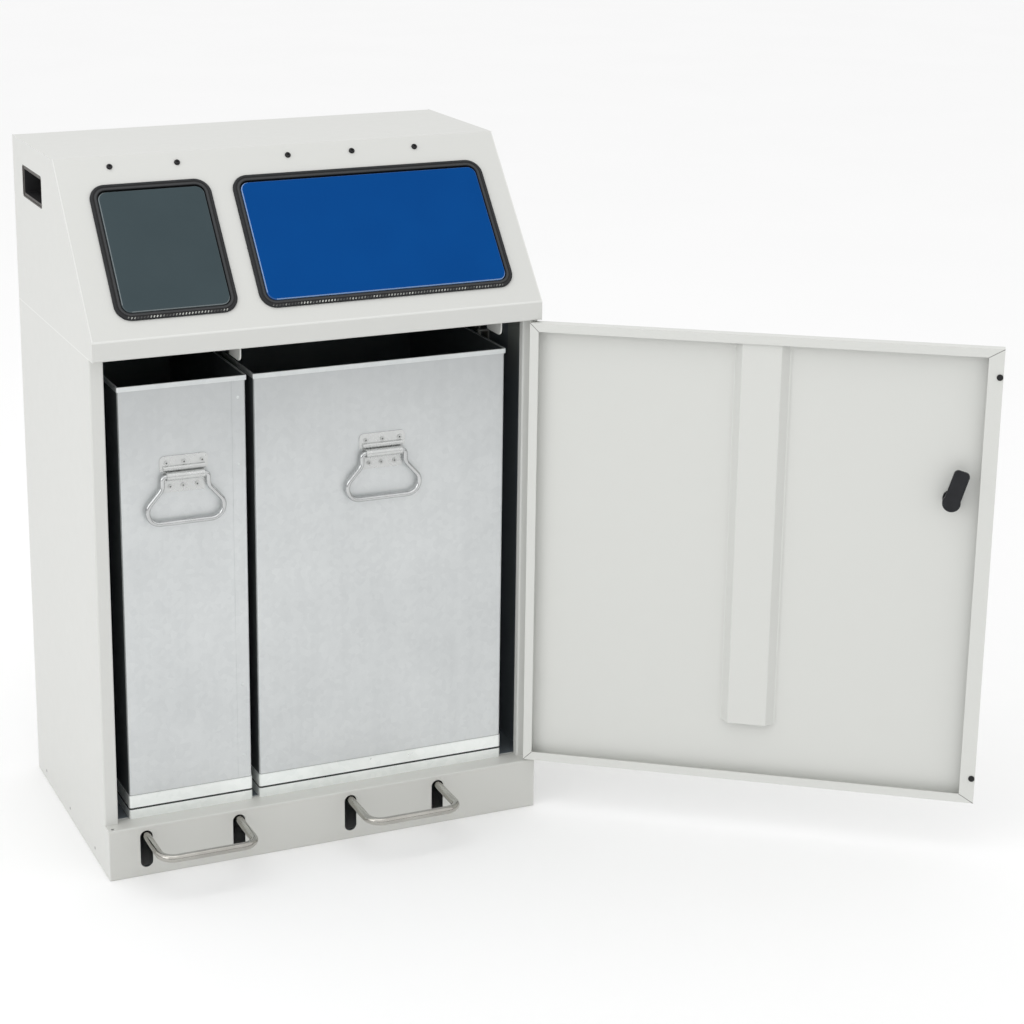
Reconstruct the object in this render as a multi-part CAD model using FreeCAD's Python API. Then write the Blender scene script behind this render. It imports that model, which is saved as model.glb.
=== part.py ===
import FreeCAD, Part
import math
import os

# Double recycling bin: a sheet-steel cabinet with a side-hung door, two pedal-opened lids in a sloping
# hood, and two lift-out containers. Millimetres, +Z up, front towards -Y, origin at the middle of the
# footprint on the floor. The door is drawn closed, then turned open by DOOR_OPEN to its rest pose.

V = FreeCAD.Vector

# Cabinet outline
WIDTH = 680.0
DEPTH = 430.0
HEIGHT = 1030.0
SHEET = 1.5
BEND = 2.0
PLINTH_TOP = 78.0
PLINTH_FLANGE = 36.0
DOWNTURN = 7.0
HOOD_H = 252.0
LIP_H = 28.0
SEAM_Z = HEIGHT - HOOD_H
LIP_TOP = SEAM_Z + LIP_H
SLOPE_BACK = 188.0
SLOPE_ANGLE = math.degrees(math.atan2(HEIGHT - LIP_TOP, SLOPE_BACK))
SLOPE_LENGTH = math.hypot(HEIGHT - LIP_TOP, SLOPE_BACK)
STILE_Y = 21.0
STILE_W = 20.6
STILE_RETURN = 33.0

# Plinth slots and pedals
PEDAL_X = ((56.0, 198.0), (WIDTH - 305.5, WIDTH - 163.5))
SLOT_W = 19.0
SLOT_Z = (12.5, PLINTH_TOP - 7.5)
PEDAL_R = 6.0
PEDAL_Z = PLINTH_TOP - 15.0
PEDAL_FRONT = -87.0
PEDAL_BEND = 22.0
PEDAL_SHAFT_R = 8.0
PEDAL_PIVOT_Y = DEPTH - 42.0
RUNNING = 0.08

# Lids and seals on the slope: x from the left side, s up the slope, n out of it
SEALS = ((41.0, 220.0), (252.5, WIDTH - 35.5))
SEAL_S = (28.5, SLOPE_LENGTH - 47.94)
SEAL_R = 24.0
LID_GAP = 11.2
LID_TOP_S = SEAL_S[1] - 12.8
LID_N = (-2.5, 4.5)
LID_R = 13.0
LID_PIVOT_S = SEAL_S[1] + 17.5
LID_PIVOT_N = -8.0
LID_SHAFT_R = 4.0
ARM_RING = (35.0, 47.0)
ARM_W = 6.0
ARM_INSET = 24.0
SCREW_S = LID_PIVOT_S + 12.0
SCREW_PITCH = 100.0
SCREW_MID = sum(SEALS[1]) / 2
SCREW_X = ((80.0, 80.0 + SCREW_PITCH), (SCREW_MID - SCREW_PITCH, SCREW_MID, SCREW_MID + SCREW_PITCH))

# Linkage
CRANK_R = 22.0
CRANK_ANGLE = 29.25
ROD_R = 3.0
ROD_X = WIDTH / 2 - 13.0
ROD_Y = 195.13
LEVER_Y = 195.0
LINK_PIN_R = 3.0
EYE_GAP = 0.6

# Door
DOOR_GAP = 3.0
DOOR_X = (SHEET, WIDTH - SHEET)
DOOR_Z = (PLINTH_TOP + DOOR_GAP, SEAM_Z - DOOR_GAP)
DOOR_T = 18.5
DOOR_PIVOT = (WIDTH - 7.5, 6.5)
DOOR_OPEN = 144.4
HINGE_HOLE_X = (WIDTH - DOOR_PIVOT[0], DOOR_PIVOT[0])
HINGE_PIN_R = 2.5
HINGE_BUSH_R = 4.3
STIFFENER_X = WIDTH / 2 - 0.5
STIFFENER_HALF = (42.0, 39.0, 28.0)
STIFFENER_DEPTH = 13.0
STIFFENER_Z = PLINTH_TOP + 93.5
LOCK_X = 61.5
LOCK_Z = SEAM_Z - 232.0
LATCH_SLOT = (LOCK_Z - 26.0, LOCK_Z + 20.0)
LOCK_LEAN = 16.0

# Containers
CONTAINERS = ((41.0, 229.0), (241.5, WIDTH - 46.0))
CONTAINER_Y = (30.0, DEPTH - 35.0)
CONTAINER_TOP = SEAM_Z - 46.0
CONTAINER_T = 1.2
SKIRT_H = 36.0
RIM_H = 7.0
BAIL_R = 3.5
BAIL_Z = CONTAINER_TOP - 135.5
BAIL_OUT = 7.5

# Grips
GRIP_Y = (DEPTH - 173.0, DEPTH - 57.0)
GRIP_Z = (HEIGHT - 84.0, HEIGHT - 36.0)
GRIP_DEPTH = 28.0

X0 = -WIDTH / 2
Y0 = -DEPTH / 2
NAMES = ("small", "large")

os.makedirs("parts", exist_ok=True)


def save(name, shape):
    """Write one node and say what went into it."""
    shape.exportStep("parts/" + name + ".step")
    print(name, len(shape.Solids), "solid", round(shape.Volume), shape.isValid())


def box(x, y, z):
    """Block between pairs of limits, measured from the left side, the front and the floor."""
    corner = V(X0 + x[0], Y0 + y[0], z[0])
    return Part.makeBox(x[1] - x[0], y[1] - y[0], z[1] - z[0], corner)


def rod(radius, start, axis, length):
    """Round bar from a start point measured from the left side, the front and the floor."""
    return Part.makeCylinder(radius, length, V(X0 + start[0], Y0 + start[1], start[2]), V(*axis))


def rounded_wire(x, y, r, z=0.0):
    """Closed rounded rectangle in a plane of constant z."""
    edges = []
    corners = ((x[1] - r, y[1] - r, 0), (x[0] + r, y[1] - r, 90))
    corners += ((x[0] + r, y[0] + r, 180), (x[1] - r, y[0] + r, 270))
    spots = []
    for cx, cy, start in corners:
        pts = []
        for angle in (start, start + 45, start + 90):
            a = math.radians(angle)
            pts.append(V(cx + r * math.cos(a), cy + r * math.sin(a), z))
        spots.append(pts)
    for i in range(4):
        a, m, b = spots[i]
        edges.append(Part.Arc(a, m, b).toShape())
        nxt = spots[(i + 1) % 4][0]
        if b.distanceToPoint(nxt) > 1e-6:
            edges.append(Part.LineSegment(b, nxt).toShape())
    return Part.Wire(edges)


def slab(x, y, r, z):
    """Rounded rectangle pulled up between two heights."""
    face = Part.Face(rounded_wire(x, y, r, z[0]))
    return face.extrude(V(0, 0, z[1] - z[0]))


def ring(x, y, r, inner, outer, z):
    """Frame between two insets of one rounded rectangle."""
    a = slab((x[0] + outer, x[1] - outer), (y[0] + outer, y[1] - outer), r - outer, z)
    b = slab((x[0] + inner, x[1] - inner), (y[0] + inner, y[1] - inner), r - inner, z)
    return a.cut(b)


def folded(points, t, r):
    """Face of a folded sheet along a flat line of (u, v) points, with bends of middle radius r."""
    sides = {1: [], -1: []}
    n = len(points)
    dirs = []
    for i in range(n - 1):
        du = points[i + 1][0] - points[i][0]
        dv = points[i + 1][1] - points[i][1]
        length = math.hypot(du, dv)
        dirs.append((du / length, dv / length))
    for side in (1, -1):
        path = []
        for i in range(n):
            u, v = points[i]
            if i == 0 or i == n - 1:
                d = dirs[0] if i == 0 else dirs[-1]
                path.append([(u - side * d[1] * t / 2, v + side * d[0] * t / 2)])
                continue
            a = dirs[i - 1]
            b = dirs[i]
            turn = math.atan2(a[0] * b[1] - a[1] * b[0], a[0] * b[0] + a[1] * b[1])
            sign = 1 if turn > 0 else -1
            back = r * math.tan(abs(turn) / 2)
            cu = u - a[0] * back - sign * a[1] * r
            cv = v - a[1] * back + sign * a[0] * r
            radius = r - side * sign * t / 2
            start = math.atan2(-sign * a[0], sign * a[1])
            arc = []
            for f in (0.0, 0.5, 1.0):
                ang = start + turn * f
                arc.append((cu + radius * math.cos(ang), cv + radius * math.sin(ang)))
            path.append(arc)
        sides[side] = path
    line = sides[1] + [list(reversed(p)) for p in reversed(sides[-1])]
    edges = []
    for i in range(len(line)):
        here = line[i]
        nxt = line[(i + 1) % len(line)]
        if len(here) == 3:
            edges.append(Part.Arc(V(*here[0], 0), V(*here[1], 0), V(*here[2], 0)).toShape())
        a = V(*here[-1], 0)
        b = V(*nxt[0], 0)
        if a.distanceToPoint(b) > 1e-6:
            edges.append(Part.LineSegment(a, b).toShape())
    return Part.Face(Part.Wire(edges))


def side_plane(x, y, z):
    """Placement that puts a piece drawn flat into the depth-height plane, its thickness along the width."""
    return FreeCAD.Placement(FreeCAD.Matrix(0, 0, 1, X0 + x, 1, 0, 0, Y0 + y, 0, 1, 0, z, 0, 0, 0, 1))


def fold_x(points, x, t=SHEET, r=BEND):
    """Folded sheet whose section lies in the depth-height plane, pulled along the width."""
    body = folded(points, t, r).extrude(V(0, 0, x[1] - x[0]))
    body.Placement = side_plane(x[0], 0, 0)
    return body


def fold_z(points, z, t=SHEET, r=BEND):
    """Folded sheet whose section lies in plan, pulled upwards."""
    body = folded(points, t, r).extrude(V(0, 0, z[1] - z[0]))
    body.translate(V(X0, Y0, z[0]))
    return body


def polygon_x(points, x):
    """Flat plate in a plane of constant width, from (depth, height) corners."""
    pts = [V(X0 + x[0], Y0 + y, z) for y, z in points]
    return Part.Face(Part.makePolygon(pts + [pts[0]])).extrude(V(x[1] - x[0], 0, 0))


def on_slope(shape):
    """Move a shape drawn in slope co-ordinates to the hood."""
    shape.Placement = FreeCAD.Placement(V(X0, Y0, LIP_TOP), FreeCAD.Rotation(V(1, 0, 0), SLOPE_ANGLE))
    return shape


def slope_to_side(s, n):
    """Depth and height of a point given up the slope and out of it."""
    a = math.radians(SLOPE_ANGLE)
    return s * math.cos(a) - n * math.sin(a), LIP_TOP + s * math.sin(a) + n * math.cos(a)


def mirror_x(shape):
    """The same piece on the other side of the middle plane."""
    return shape.mirror(V(0, 0, 0), V(1, 0, 0))


def fused(parts):
    """One solid from pieces that overlap or share faces."""
    body = parts[0].multiFuse(parts[1:])
    return body.removeSplitter()


def group(parts):
    """Several solids of one node."""
    return Part.makeCompound(parts)


RIVET_Z = 15.0
RIVETS = [(83.0, RIVET_Z), (DEPTH - 201.0, RIVET_Z), (DEPTH - 53.0, RIVET_Z)]
RIVET_R = 2.4
BACK_RIVETS = [90.0 + i * (WIDTH - 180.0) / 3 for i in range(4)]
BASE_T = 2.0
BASE_W = 25.0
INNER = (SHEET, WIDTH - SHEET)

# Side panels: one sheet with the door stile folded in at the front and a foot below the door
plan = [(SHEET / 2, DEPTH), (SHEET / 2, STILE_Y + SHEET / 2)]
plan += [(STILE_W - SHEET / 2, STILE_Y + SHEET / 2), (STILE_W - SHEET / 2, STILE_RETURN)]
side = fold_z(plan, (PLINTH_TOP, SEAM_Z))
foot = box((0, SHEET), (0, DEPTH), (0, PLINTH_TOP))
side = fused([side, foot])
for y, z in RIVETS:
    side = side.cut(rod(RIVET_R, (-1, y, z), (1, 0, 0), 6))
right_side = mirror_x(side)
slot = box((STILE_W - 2 * SHEET, STILE_W + 1), (STILE_Y + 1.6, STILE_RETURN - 2), LATCH_SLOT)
save("side_panel_left", side.cut(slot))
save("side_panel_right", right_side)

# Back panel, with its own inward flanges above the base frame
flange = 14.0
plan = [(SHEET * 1.5, DEPTH - flange), (SHEET * 1.5, DEPTH - SHEET / 2)]
plan += [(WIDTH - SHEET * 1.5, DEPTH - SHEET / 2), (WIDTH - SHEET * 1.5, DEPTH - flange)]
back = fold_z(plan, (0, SEAM_Z))
back = back.cut(box(INNER, (0, DEPTH - SHEET), (-1, PLINTH_TOP)))
for x in BACK_RIVETS:
    back = back.cut(rod(RIVET_R, (x, DEPTH - 5, RIVET_Z), (0, 1, 0), 10))
save("back_panel", back)

# Plinth front with the pedal slots and the flange that carries the lower hinge pin, with a hole at the
# other end too
section = [(SHEET / 2, 0), (SHEET / 2, PLINTH_TOP - SHEET / 2)]
section.append((PLINTH_FLANGE - SHEET / 2, PLINTH_TOP - SHEET / 2))
section.append((PLINTH_FLANGE - SHEET / 2, PLINTH_TOP - DOWNTURN))
plinth = fold_x(section, INNER)
for pair in PEDAL_X:
    for x in pair:
        hole = slab((x - SLOT_W / 2, x + SLOT_W / 2), SLOT_Z, SLOT_W / 2 - 0.001, (0, 8))
        hole.Placement = FreeCAD.Placement(V(X0, Y0 + 5, 0), FreeCAD.Rotation(V(1, 0, 0), 90))
        plinth = plinth.cut(hole)
for x in HINGE_HOLE_X:
    plinth = plinth.cut(rod(HINGE_PIN_R, (x, DOOR_PIVOT[1], PLINTH_TOP - 10), (0, 0, 1), 20))
save("plinth_front", plinth)

# Floor panel, which the containers stand on
section = [(PLINTH_FLANGE + SHEET / 2, PLINTH_TOP - DOWNTURN)]
section.append((PLINTH_FLANGE + SHEET / 2, PLINTH_TOP - SHEET / 2))
section += [(DEPTH - SHEET * 1.5, PLINTH_TOP - SHEET / 2), (DEPTH - SHEET * 1.5, PLINTH_TOP - DOWNTURN)]
floor = fold_x(section, INNER)
for x in (WIDTH / 2 - ROD_X, WIDTH / 2 + ROD_X):
    floor = floor.cut(rod(6, (x, ROD_Y, PLINTH_TOP - 10), (0, 0, 1), 20))
save("floor_panel", floor)

# Angle frame round the foot, whose lower face stands on the ground
base = box(INNER, (SHEET, DEPTH - SHEET), (0, BASE_T))
open_x = (SHEET + BASE_W, WIDTH - SHEET - BASE_W)
open_y = (SHEET + BASE_W, DEPTH - SHEET - BASE_W)
base = base.cut(box(open_x, open_y, (-1, 5)))
walls = [box((SHEET, SHEET + BASE_T), (SHEET, DEPTH - SHEET), (0, BASE_W))]
walls.append(box((WIDTH - SHEET - BASE_T, WIDTH - SHEET), (SHEET, DEPTH - SHEET), (0, BASE_W)))
walls.append(box(INNER, (DEPTH - SHEET - BASE_T, DEPTH - SHEET), (0, BASE_W)))
base = fused([base] + walls)
rivets = []
for x, way in ((0.0, 1), (WIDTH, -1)):
    for y, z in RIVETS:
        shank = rod(RIVET_R, (x, y, z), (way, 0, 0), SHEET + BASE_T)
        head = rod(4.0, (x + way * (SHEET + BASE_T), y, z), (way, 0, 0), 1.2)
        base = base.cut(shank)
        rivets.append(fused([shank, head]))
for x in BACK_RIVETS:
    shank = rod(RIVET_R, (x, DEPTH, RIVET_Z), (0, -1, 0), SHEET + BASE_T)
    head = rod(4.0, (x, DEPTH - SHEET - BASE_T, RIVET_Z), (0, -1, 0), 1.2)
    base = base.cut(shank)
    rivets.append(fused([shank, head]))
save("base_frame", base)
save("base_rivets", group(rivets))

# Rail hidden behind the lip, and the two tabs that hang from it over the containers
RAIL_Y = (23.0, 70.0)
RAIL_Z = (SEAM_Z + SHEET, SEAM_Z + 22.0)
section = [(RAIL_Y[0] + SHEET / 2, RAIL_Z[1]), (RAIL_Y[0] + SHEET / 2, RAIL_Z[0] + SHEET / 2)]
section += [(RAIL_Y[1] - SHEET / 2, RAIL_Z[0] + SHEET / 2), (RAIL_Y[1] - SHEET / 2, RAIL_Z[1])]
save("front_rail", fold_x(section, INNER))
TAB_T = 2.0
TAB_Y = (25.5, 74.0)
TAB_BOTTOM = SEAM_Z - 25.0
TAB_X = (221.0, WIDTH - 54.0)
stops = []
for x in TAB_X:
    tab = box((x - TAB_T / 2, x + TAB_T / 2), TAB_Y, (TAB_BOTTOM, RAIL_Z[0]))
    low_edges = [e for e in tab.Edges if e.BoundBox.ZMax < TAB_BOTTOM + 0.1]
    stops.append(tab.makeFillet(9.0, [e for e in low_edges if abs(e.BoundBox.YMax - Y0 - TAB_Y[0]) < 0.01]))
save("container_stops", group(stops))

# Hood shell: lip, slope, top and back in one folded sheet, cut out for the two lids and the hinge screws
h = SHEET / 2
a = math.radians(SLOPE_ANGLE)
lip_mid = (h, LIP_TOP + h * math.tan(a) - h / math.cos(a))
top_mid = ((HEIGHT - h - LIP_TOP + h / math.cos(a)) / math.tan(a), HEIGHT - h)
section = [(RAIL_Y[0], SEAM_Z + h), (h, SEAM_Z + h), lip_mid, top_mid]
section += [(DEPTH - h, HEIGHT - h), (DEPTH - h, SEAM_Z)]
hood = fold_x(section, INNER)
for limits in SEALS:
    cut = slab((limits[0] + 7, limits[1] - 7), (SEAL_S[0] + 7, SEAL_S[1] - 7), SEAL_R - 7, (-6, 6))
    hood = hood.cut(on_slope(cut))
SCREW_R = 2.0
for row in SCREW_X:
    for x in row:
        hood = hood.cut(on_slope(Part.makeCylinder(SCREW_R, 20, V(x, SCREW_S, -10))))
for x in HINGE_HOLE_X:
    hood = hood.cut(rod(HINGE_PIN_R, (x, DOOR_PIVOT[1], SEAM_Z - 5), (0, 0, 1), 10))
save("hood_shell", hood)

# Hood cheeks with the grip openings
cheek = [(0, SEAM_Z), (DEPTH, SEAM_Z), (DEPTH, HEIGHT), (SLOPE_BACK, HEIGHT), (0, LIP_TOP)]
cheek = polygon_x(cheek, (0, SHEET))
GRIP_R = 5.0
GRIP_R_MIN = 1.5


def grip_slab(inset, x):
    """Rounded block in the side plane, for the grip opening and its shell."""
    across = (GRIP_Y[0] + inset, GRIP_Y[1] - inset)
    up = (GRIP_Z[0] + inset, GRIP_Z[1] - inset)
    body = slab(across, up, max(GRIP_R - inset, GRIP_R_MIN), (0, x[1] - x[0]))
    body.Placement = side_plane(x[0], 0, 0)
    return body


cheek = cheek.cut(grip_slab(0, (-1, 4)))
save("hood_cheek_left", cheek)
save("hood_cheek_right", mirror_x(cheek))
GRIP_WALL = 2.0
GRIP_STEP = 4.0
bezel = grip_slab(0, (0, SHEET + GRIP_WALL))
tub = grip_slab(GRIP_STEP, (SHEET, GRIP_DEPTH))
collar = grip_slab(-6, (SHEET, SHEET + GRIP_WALL))
shell = fused([bezel, tub, collar])
shell = shell.cut(grip_slab(GRIP_WALL, (-1, SHEET)))
shell = shell.cut(grip_slab(GRIP_STEP + GRIP_WALL, (-1, GRIP_DEPTH - GRIP_WALL)))
save("grip_shell_left", shell)
save("grip_shell_right", mirror_x(shell))

# Rubber seals: band on the slope, web through the cut-out, leg behind the sheet, soft bulb under the lid
for limits, name in zip(SEALS, NAMES):
    band = slab(limits, SEAL_S, SEAL_R, (0, 3.5))
    rim = [e for e in band.Edges if e.BoundBox.ZMin > 3.4]
    band = band.makeFillet(1.4, rim)
    hole = slab((limits[0] + 10, limits[1] - 10), (SEAL_S[0] + 10, SEAL_S[1] - 10), SEAL_R - 10, (-1, 6))
    band = band.cut(hole)
    web = ring(limits, SEAL_S, SEAL_R, 10, 7, (-SHEET, 0.5))
    leg = ring(limits, SEAL_S, SEAL_R, 10, 5, (-5, -SHEET))
    bulb = ring(limits, SEAL_S, SEAL_R, 15, 9, (-8, -3))
    save("lid_seal_" + name, on_slope(fused([band, web, leg, bulb])))

# Lid hinge strips under the slope, with their ears, and the black screws that hold them
screws = []
EAR_W = 5.0
pivot_y, pivot_z = slope_to_side(LID_PIVOT_S, LID_PIVOT_N)
arm_x = []
ear_x = []
for limits in SEALS:
    lid = (limits[0] + LID_GAP, limits[1] - LID_GAP)
    arm_x.append((lid[0] + ARM_INSET, lid[1] - ARM_INSET - ARM_W))
    ear_x.append((arm_x[-1][0] - EAR_W - 3, arm_x[-1][1] + ARM_W + 3))
for i, name in enumerate(NAMES):
    low, high = ear_x[i]
    plate = Part.makeBox(high + EAR_W - low, 14.5, 2, V(low, LID_PIVOT_S + 7.5, -SHEET - 2))
    parts = [plate]
    for x in ear_x[i]:
        parts.append(Part.makeBox(EAR_W, 29, 12.5, V(x, LID_PIVOT_S - 7, -SHEET - 12.5)))
    strip = fused(parts)
    for x in ear_x[i]:
        start = V(x - 10, LID_PIVOT_S, LID_PIVOT_N)
        strip = strip.cut(Part.makeCylinder(LID_SHAFT_R + RUNNING, 30, start, V(1, 0, 0)))
    for x in SCREW_X[i]:
        strip = strip.cut(Part.makeCylinder(SCREW_R, 20, V(x, SCREW_S, -12)))
        shank = Part.makeCylinder(SCREW_R, 6.5, V(x, SCREW_S, -6.5))
        head = Part.makeCylinder(4.4, 2.8, V(x, SCREW_S, 0))
        edge = [e for e in head.Edges if e.BoundBox.ZMin > 2.7]
        head = head.makeFillet(1.6, edge)
        screws.append(on_slope(fused([shank, head])))
    save("lid_hinge_strip_" + name, on_slope(strip))
save("hinge_screws", group(screws))

# Lids: tray, two goosenecks that swing inside the opening, shaft, crank with its pin
for i, name in enumerate(NAMES):
    limits = SEALS[i]
    x = (limits[0] + LID_GAP, limits[1] - LID_GAP)
    s = (SEAL_S[0] + LID_GAP, LID_TOP_S)
    tray = slab(x, s, LID_R, LID_N)
    rim = [e for e in tray.Edges if e.BoundBox.ZMin > LID_N[1] - 0.1]
    tray = tray.makeFillet(2.4, rim)
    inside_s = (s[0] + SHEET, s[1] - SHEET)
    hollow = slab((x[0] + SHEET, x[1] - SHEET), inside_s, LID_R - SHEET, (-9, LID_N[1] - SHEET))
    tray = tray.cut(hollow)
    save("lid_panel_" + name, on_slope(tray))
    arms = []
    for left in arm_x[i]:
        centre = V(left, LID_PIVOT_S, LID_PIVOT_N)
        disc = Part.makeCylinder(ARM_RING[1], ARM_W, centre, V(1, 0, 0))
        disc = disc.cut(Part.makeCylinder(ARM_RING[0], ARM_W, centre, V(1, 0, 0)))
        quarter = Part.makeBox(ARM_W, 60, 60, V(left, LID_PIVOT_S - 60, LID_PIVOT_N - 60))
        reach = LID_N[1] - SHEET - LID_PIVOT_N
        corner = V(left, LID_PIVOT_S - ARM_RING[1], LID_PIVOT_N)
        post = Part.makeBox(ARM_W, ARM_RING[1] - ARM_RING[0], reach, corner)
        corner = V(left, LID_PIVOT_S - 6, LID_PIVOT_N - ARM_RING[1] + 2)
        link = Part.makeBox(ARM_W, 6, ARM_RING[1] - 2, corner)
        hub = Part.makeCylinder(6, ARM_W, centre, V(1, 0, 0))
        arm = fused([disc.common(quarter), post, link, hub])
        arm = arm.cut(Part.makeCylinder(LID_SHAFT_R, 20, centre - V(5, 0, 0), V(1, 0, 0)))
        arms.append(on_slope(arm))
    save("lid_arms_" + name, group(arms))
    crank_x = (6.0, 9.0) if i == 0 else (WIDTH - 9.0, WIDTH - 6.0)
    ends = (crank_x[0], ear_x[0][1] + EAR_W + 3) if i == 0 else (ear_x[1][0] - 3, crank_x[1])
    save("lid_shaft_" + name, rod(LID_SHAFT_R, (ends[0], pivot_y, pivot_z), (1, 0, 0), ends[1] - ends[0]))
    tip_y = pivot_y + CRANK_R * math.cos(math.radians(CRANK_ANGLE))
    tip_z = pivot_z + CRANK_R * math.sin(math.radians(CRANK_ANGLE))
    parts = [rod(6, (crank_x[0], pivot_y, pivot_z), (1, 0, 0), 3)]
    parts.append(rod(5, (crank_x[0], tip_y, tip_z), (1, 0, 0), 3))
    bar = Part.makeBox(3, CRANK_R, 9, V(0, 0, -4.5))
    bar.rotate(V(0, 0, 0), V(1, 0, 0), CRANK_ANGLE)
    bar.translate(V(X0 + crank_x[0], Y0 + pivot_y, pivot_z))
    parts.append(bar)
    pin_from = crank_x[0] if i == 0 else crank_x[1]
    way = 1 if i == 0 else -1
    parts.append(rod(LINK_PIN_R, (pin_from, tip_y, tip_z), (way, 0, 0), 10.5))
    crank = fused(parts)
    save("lid_crank_" + name, crank.cut(rod(LID_SHAFT_R, (crank_x[0] - 5, pivot_y, pivot_z), (1, 0, 0), 20)))

# Lifting rods with a slotted eye at each end, and the guides on the side walls
guides = []
eye_half = (5.2, LINK_PIN_R + EYE_GAP)
eyes = (PEDAL_Z, pivot_z + CRANK_R * math.sin(math.radians(CRANK_ANGLE)))
GUIDE_Z = (PLINTH_TOP + 172.0, SEAM_Z - 58.0)
for i, name in enumerate(NAMES):
    x = WIDTH / 2 - ROD_X if i == 0 else WIDTH / 2 + ROD_X
    parts = [rod(ROD_R, (x, ROD_Y, eyes[0] + 6), (0, 0, 1), eyes[1] - eyes[0] - 12)]
    for z in eyes:
        parts.append(box((x - 1.5, x + 1.5), (ROD_Y - 9, ROD_Y + 9), (z - 7.5, z + 7.5)))
    lift = fused(parts)
    for z in eyes:
        hole = slab((-eye_half[0], eye_half[0]), (-eye_half[1], eye_half[1]), eye_half[1] - 0.001, (-5, 5))
        hole.Placement = side_plane(x, ROD_Y, z)
        lift = lift.cut(hole)
    save("lift_rod_" + name, lift)
    for z in GUIDE_Z:
        foot_x = (SHEET, SHEET + 2.0) if i == 0 else (WIDTH - SHEET - 2.0, WIDTH - SHEET)
        shelf_x = (SHEET, x + 8) if i == 0 else (x - 8, WIDTH - SHEET)
        span_y = (ROD_Y - 12, ROD_Y + 12)
        guide = fused([box(foot_x, span_y, (z - 18, z + 3)), box(shelf_x, span_y, (z, z + 3))])
        guides.append(guide.cut(rod(ROD_R + RUNNING, (x, ROD_Y, z - 30), (0, 0, 1), 60)))
save("rod_guides", group(guides))

# Pedals: bent bar, pivot shaft, lever with its pin, and the bearing brackets under the floor
BRACKET_X = ((30.0, 176.0), (WIDTH - 280.0, WIDTH - 40.0))
SHAFT_X = ((6.0, PEDAL_X[0][1] + 14.0), (PEDAL_X[1][0] - 14.5, WIDTH - 6.0))
brackets = []
under = PLINTH_TOP - SHEET
for i, name in enumerate(NAMES):
    left, right = PEDAL_X[i]
    y = PEDAL_PIVOT_Y
    r = PEDAL_BEND
    k = r * (1 - math.sqrt(0.5))
    spots = [(left, y), (left, PEDAL_FRONT + r), (left + k, PEDAL_FRONT + k), (left + r, PEDAL_FRONT)]
    spots += [(right - r, PEDAL_FRONT), (right - k, PEDAL_FRONT + k), (right, PEDAL_FRONT + r), (right, y)]
    p = [V(X0 + u, Y0 + v, PEDAL_Z) for u, v in spots]
    edges = [Part.LineSegment(p[0], p[1]).toShape(), Part.Arc(p[1], p[2], p[3]).toShape()]
    edges += [Part.LineSegment(p[3], p[4]).toShape(), Part.Arc(p[4], p[5], p[6]).toShape()]
    edges.append(Part.LineSegment(p[6], p[7]).toShape())
    circle = Part.Wire(Part.makeCircle(PEDAL_R, p[0], V(0, -1, 0)))
    bar = Part.Wire(edges).makePipeShell([circle], True, False)
    shaft = rod(PEDAL_SHAFT_R, (SHAFT_X[i][0], y, PEDAL_Z), (1, 0, 0), SHAFT_X[i][1] - SHAFT_X[i][0])
    save("pedal_bar_" + name, bar.cut(shaft))
    save("pedal_shaft_" + name, shaft)
    lever_x = (6.0, 9.0) if i == 0 else (WIDTH - 9.0, WIDTH - 6.0)
    parts = [box(lever_x, (LEVER_Y, y), (PEDAL_Z - 7, PEDAL_Z + 7))]
    parts.append(rod(7, (lever_x[0], LEVER_Y, PEDAL_Z), (1, 0, 0), 3))
    parts.append(rod(12, (lever_x[0], y, PEDAL_Z), (1, 0, 0), 3))
    pin_from = lever_x[0] if i == 0 else lever_x[1]
    parts.append(rod(LINK_PIN_R, (pin_from, LEVER_Y, PEDAL_Z), (1 if i == 0 else -1, 0, 0), 10.5))
    save("pedal_lever_" + name, fused(parts).cut(shaft))
    for x in BRACKET_X[i]:
        span_y = (y - 14, y + 14)
        leaf = box((x, x + 4), span_y, (PEDAL_Z - 13, under))
        bracket = fused([leaf, box((x, x + 22), span_y, (under - 2, under))])
        brackets.append(bracket.cut(rod(PEDAL_SHAFT_R + RUNNING, (x - 5, y, PEDAL_Z), (1, 0, 0), 40)))
save("pedal_brackets", group(brackets))

# Door hinge pins, fixed in the plinth flange and in the hood's lower flange
low = rod(HINGE_PIN_R, (DOOR_PIVOT[0], DOOR_PIVOT[1], PLINTH_TOP - 8), (0, 0, 1), 22)
head = rod(4.0, (DOOR_PIVOT[0], DOOR_PIVOT[1], PLINTH_TOP - SHEET - 3), (0, 0, 1), 3)
washer = rod(4.0, (DOOR_PIVOT[0], DOOR_PIVOT[1], PLINTH_TOP), (0, 0, 1), DOOR_GAP - 0.3)
save("hinge_pin_bottom", fused([low, head, washer]))
high = rod(HINGE_PIN_R, (DOOR_PIVOT[0], DOOR_PIVOT[1], DOOR_Z[1] - 11), (0, 0, 1), 19)
head = rod(4.0, (DOOR_PIVOT[0], DOOR_PIVOT[1], SEAM_Z + SHEET), (0, 0, 1), 3)
save("hinge_pin_top", fused([high, head]))

# Door, drawn closed and then turned open
door_centre = V(X0 + DOOR_PIVOT[0], Y0 + DOOR_PIVOT[1], 0)


def hang(shape):
    """Turn a door piece from closed to the rest pose."""
    shape.rotate(door_centre, V(0, 0, 1), DOOR_OPEN)
    return shape


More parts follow.
